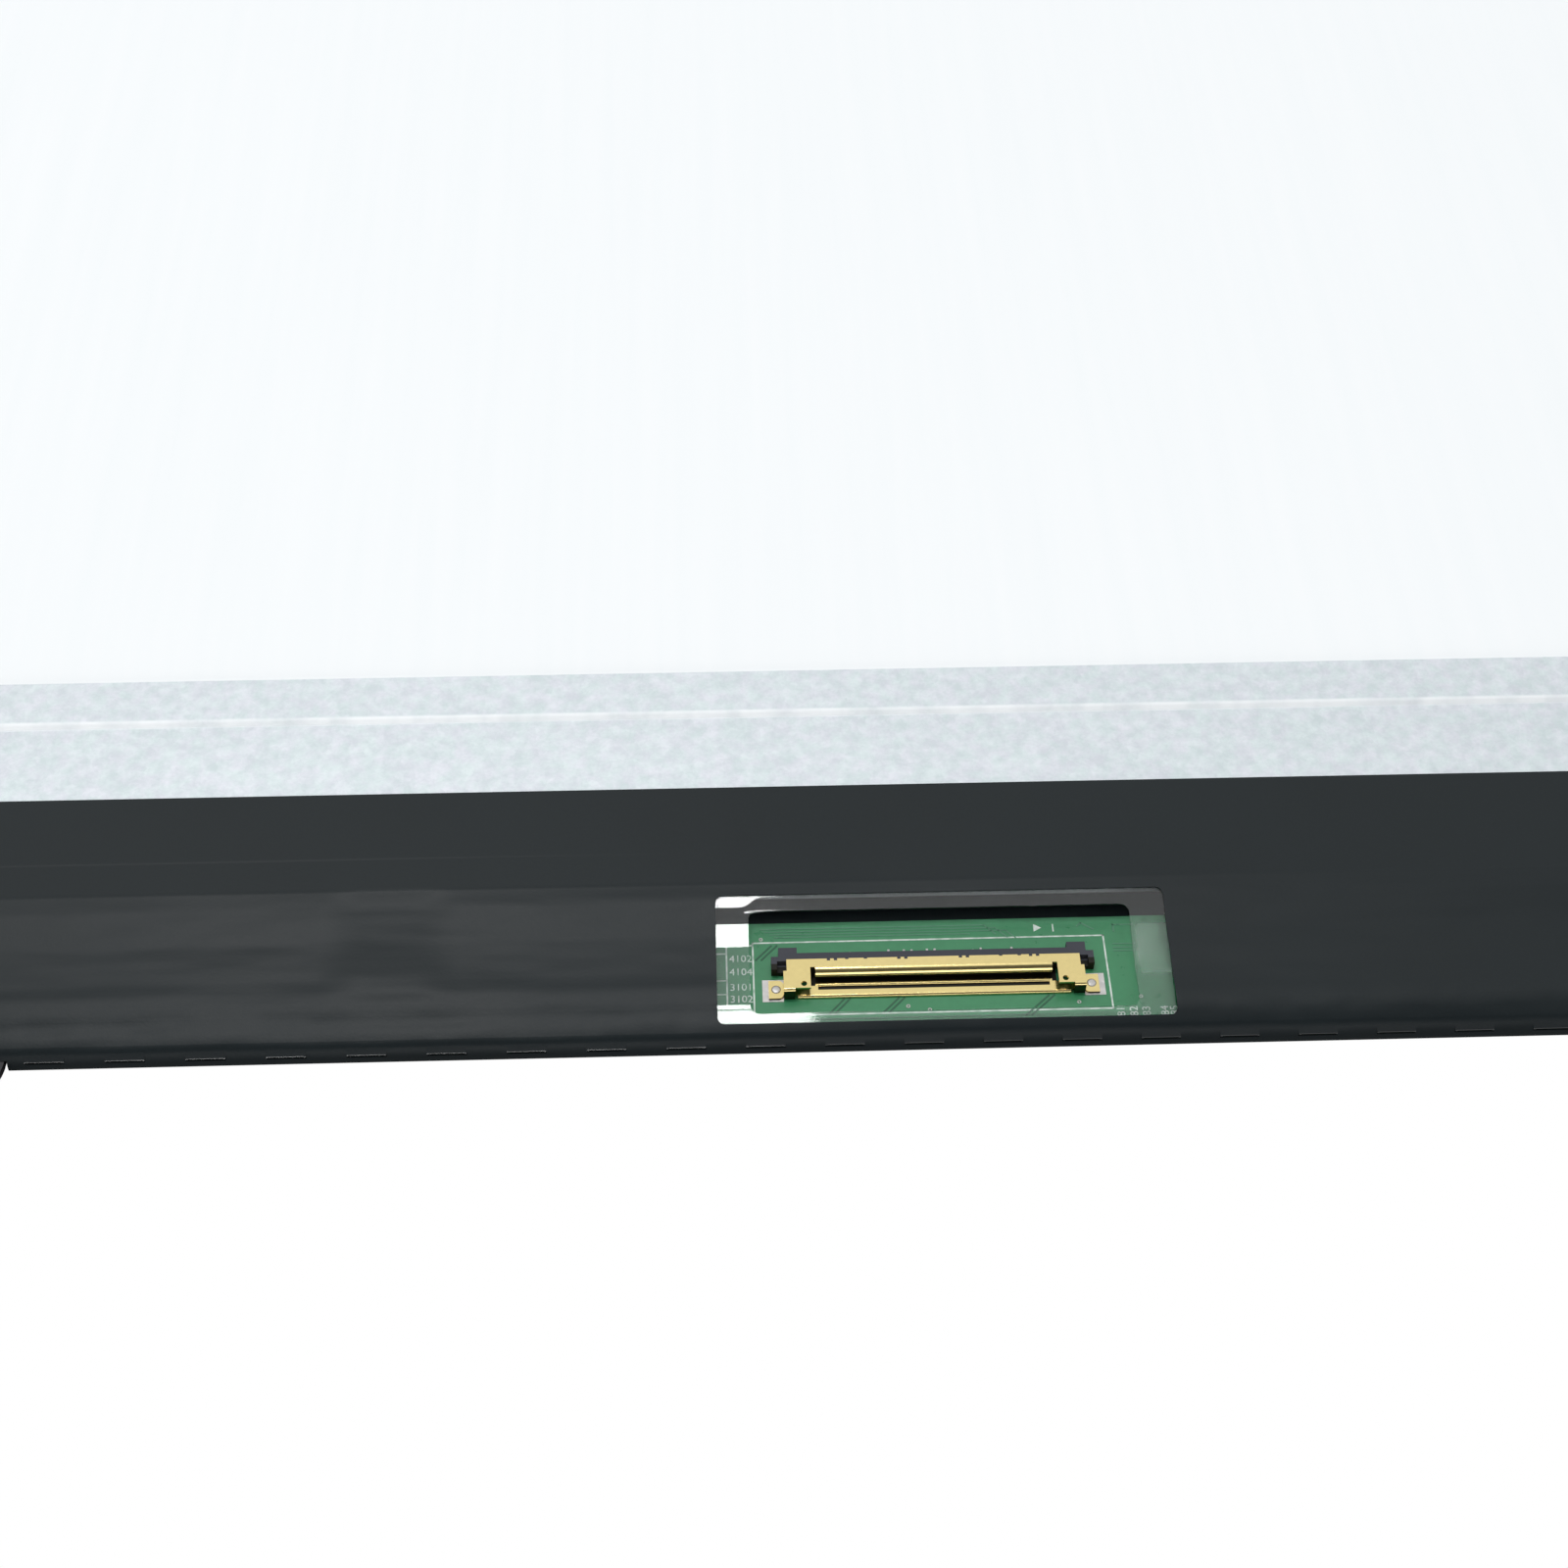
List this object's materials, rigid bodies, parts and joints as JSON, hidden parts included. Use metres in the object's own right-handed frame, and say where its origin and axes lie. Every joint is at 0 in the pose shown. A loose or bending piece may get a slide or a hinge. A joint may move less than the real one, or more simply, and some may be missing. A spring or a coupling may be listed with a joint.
{
  "type": "laptop screen panel",
  "caption": "Slim liquid crystal screen panel for a laptop, seen from its back: white reflector, steel band, black cover tape with a window over a gold cable connector.",
  "frame": {"origin": "middle of the outline, on the face of the front polariser that the panel lies on", "axes": "+X along the long side, +Y up the picture away from the circuit board, +Z out of the back"},
  "size_m": [0.3594, 0.2238, 0.0032],
  "materials": {
    "polariser": "dark anti-glare film",
    "glass": "clear display glass",
    "clear_film": "clear polyester film",
    "hazy_film": "milky optical film",
    "light_guide": "clear moulded plate",
    "black_adhesive": "black foam tape",
    "black_plastic": "black moulded plastic",
    "white_sheet": "matt white reflector",
    "galvanised_steel": "galvanised sheet with a faint spangle",
    "black_steel": "black-coated sheet steel",
    "black_tape": "satin black tape",
    "green_board": "green solder mask",
    "amber_film": "amber flexible circuit",
    "white_board": "white solder mask",
    "lamp_body": "white lamp body with a yellow lens",
    "gold_shell": "gold-plated sheet",
    "gold_contact": "gold-plated contact",
    "connector_black": "black connector plastic",
    "solder": "bright solder",
    "chip_black": "black moulded chip body",
    "chip_silicon": "bare silicon chip",
    "ferrite": "dark ferrite body",
    "capacitor_tan": "tan ceramic body with bright ends",
    "resistor_black": "black top on a white body",
    "socket_ivory": "ivory socket plastic"
  },
  "bodies": {
    "root": {"front_polariser": "polariser", "colour_filter_glass": "glass", "tft_array_glass": "glass", "rear_polariser": "polariser", "rim_tape": "black_adhesive", "mould_frame": "black_plastic", "upper_diffuser_film": "hazy_film", "upper_prism_film": "hazy_film", "lower_prism_film": "hazy_film", "lower_diffuser_film": "hazy_film", "light_guide_plate": "light_guide", "reflector_adhesive": "clear_film", "reflector_sheet": "white_sheet", "led_strip_board": "white_board", "leds": "lamp_body", "light_bar_cover": "galvanised_steel", "light_bar_tail": "amber_film", "light_bar_socket": "socket_ivory", "source_driver_films": "amber_film", "driver_chips": "chip_silicon", "control_board": "green_board", "connector_shell": "gold_shell", "connector_housing": "connector_black", "connector_contacts": "gold_contact", "connector_solder": "solder", "timing_chip": "chip_black", "power_chip": "chip_black", "memory_chip": "chip_black", "inductors": "ferrite", "capacitors": "capacitor_tan", "resistors": "resistor_black", "black_cover_tape": "black_tape", "window_film": "clear_film", "left_bracket": "black_steel", "right_bracket": "black_steel", "top_edge_tape": "black_tape"}
  },
  "joints": []
}
